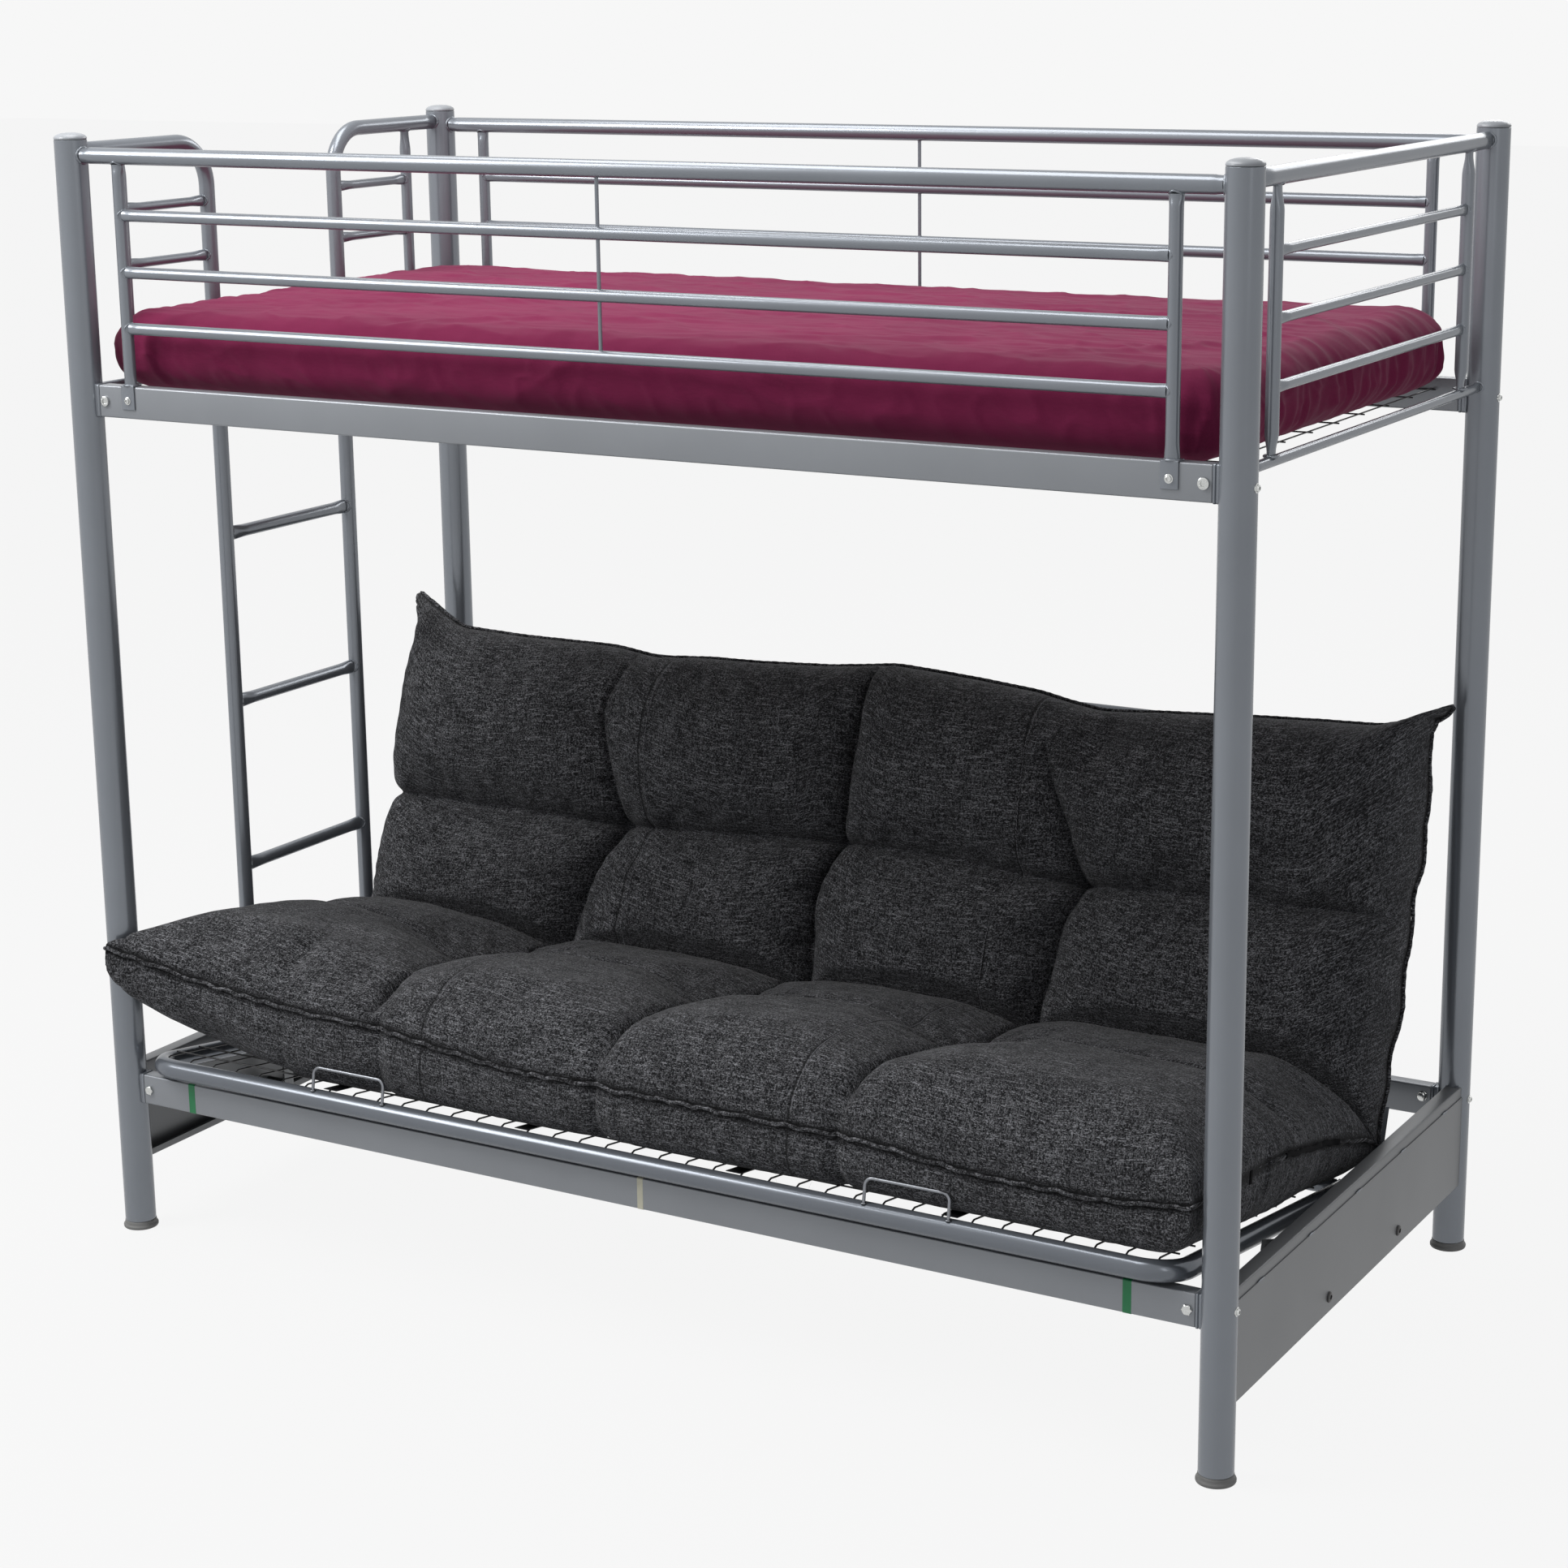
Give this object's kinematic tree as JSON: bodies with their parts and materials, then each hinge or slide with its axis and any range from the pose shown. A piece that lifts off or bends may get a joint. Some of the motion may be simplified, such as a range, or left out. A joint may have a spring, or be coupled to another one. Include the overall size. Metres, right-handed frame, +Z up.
{
  "type": "futon bunk bed",
  "caption": "Tubular steel bunk bed: a railed upper bed with an end ladder, over a futon sofa that slides forward and folds flat.",
  "frame": {"origin": "on the floor, in the middle of the four posts", "axes": "+X along the bed towards the head end, +Y towards the back of the futon, +Z up"},
  "size_m": [2.0026, 1.0242, 1.8018],
  "materials": {
    "silver_paint": "satin silver powder coat",
    "futon_paint": "satin silver powder coat, a darker grey",
    "black_wire": "black coated wire",
    "zinc_steel": "zinc plated",
    "cap_plastic": "moulded grey plastic",
    "foot_plastic": "moulded dark grey plastic",
    "bolt_black": "blackened steel",
    "burgundy_sheet": "woven cotton sheet, creased",
    "charcoal_fabric": "coarse charcoal melange upholstery weave"
  },
  "bodies": {
    "frame": {"post_front_left": "silver_paint", "post_cap_front_left": "cap_plastic", "post_foot_front_left": "foot_plastic", "post_front_right": "silver_paint", "post_cap_front_right": "cap_plastic", "post_foot_front_right": "foot_plastic", "upper_rail_front": "silver_paint", "lower_rail_front": "silver_paint", "guard_top_tube_front": "silver_paint", "guard_infill_front": "silver_paint", "post_rear_left": "silver_paint", "post_cap_rear_left": "cap_plastic", "post_foot_rear_left": "foot_plastic", "post_rear_right": "silver_paint", "post_cap_rear_right": "cap_plastic", "post_foot_rear_right": "foot_plastic", "upper_rail_rear": "silver_paint", "lower_rail_rear": "silver_paint", "guard_top_tube_rear": "silver_paint", "guard_infill_rear": "silver_paint", "end_panel_left": "silver_paint", "upper_rail_bolt_left": "zinc_steel", "lower_rail_bolt_left": "zinc_steel", "guard_screw_left": "zinc_steel", "end_panel_right": "silver_paint", "upper_rail_bolt_right": "zinc_steel", "lower_rail_bolt_right": "zinc_steel", "guard_screw_right": "zinc_steel", "head_top_tube": "silver_paint", "head_infill": "silver_paint", "head_end_bar": "silver_paint", "ladder_top_bar": "silver_paint", "ladder_stile_front": "silver_paint", "entry_infill_front": "silver_paint", "ladder_stile_rear": "silver_paint", "entry_infill_rear": "silver_paint", "ladder_rung_1": "silver_paint", "ladder_rung_2": "silver_paint", "ladder_rung_3": "silver_paint", "upper_deck": "black_wire", "upper_mattress": "burgundy_sheet", "slide_guide_left": "zinc_steel", "guide_bolt_left_front": "bolt_black", "guide_bolt_left_rear": "bolt_black", "slide_guide_right": "zinc_steel", "guide_bolt_right_front": "bolt_black", "guide_bolt_right_rear": "bolt_black"},
    "carriage": {"slide_carriage_left": "zinc_steel", "slide_carriage_right": "zinc_steel"},
    "seat": {"seat_frame": "futon_paint", "seat_cross_tube": "futon_paint", "seat_mesh": "black_wire", "seat_pad": "charcoal_fabric", "pad_loop_left": "zinc_steel", "pad_loop_right": "zinc_steel"},
    "back": {"back_frame": "futon_paint", "back_cross_tube": "futon_paint", "back_mesh": "black_wire", "back_pad": "charcoal_fabric"}
  },
  "joints": [
    {"name": "futon_slide", "type": "slide", "parent": "frame", "child": "carriage", "axis": [0, -0.946, 0.3242], "range_m": [0, 0.47569]},
    {"name": "seat_tilt", "type": "hinge", "parent": "carriage", "child": "seat", "pos_m": [0, 0.23129, 0.18639], "axis": [1, 0, 0], "range_deg": [0, 8.8]},
    {"name": "back_fold", "type": "hinge", "parent": "seat", "child": "back", "pos_m": [0, 0.23129, 0.18639], "axis": [-1, 0, 0], "range_deg": [0, 80.8]}
  ],
  "couplings": [
    {"joint": "seat_tilt", "follows": "futon_slide", "rad_per_m": 0.32288},
    {"joint": "back_fold", "follows": "futon_slide", "rad_per_m": 2.9646}
  ]
}
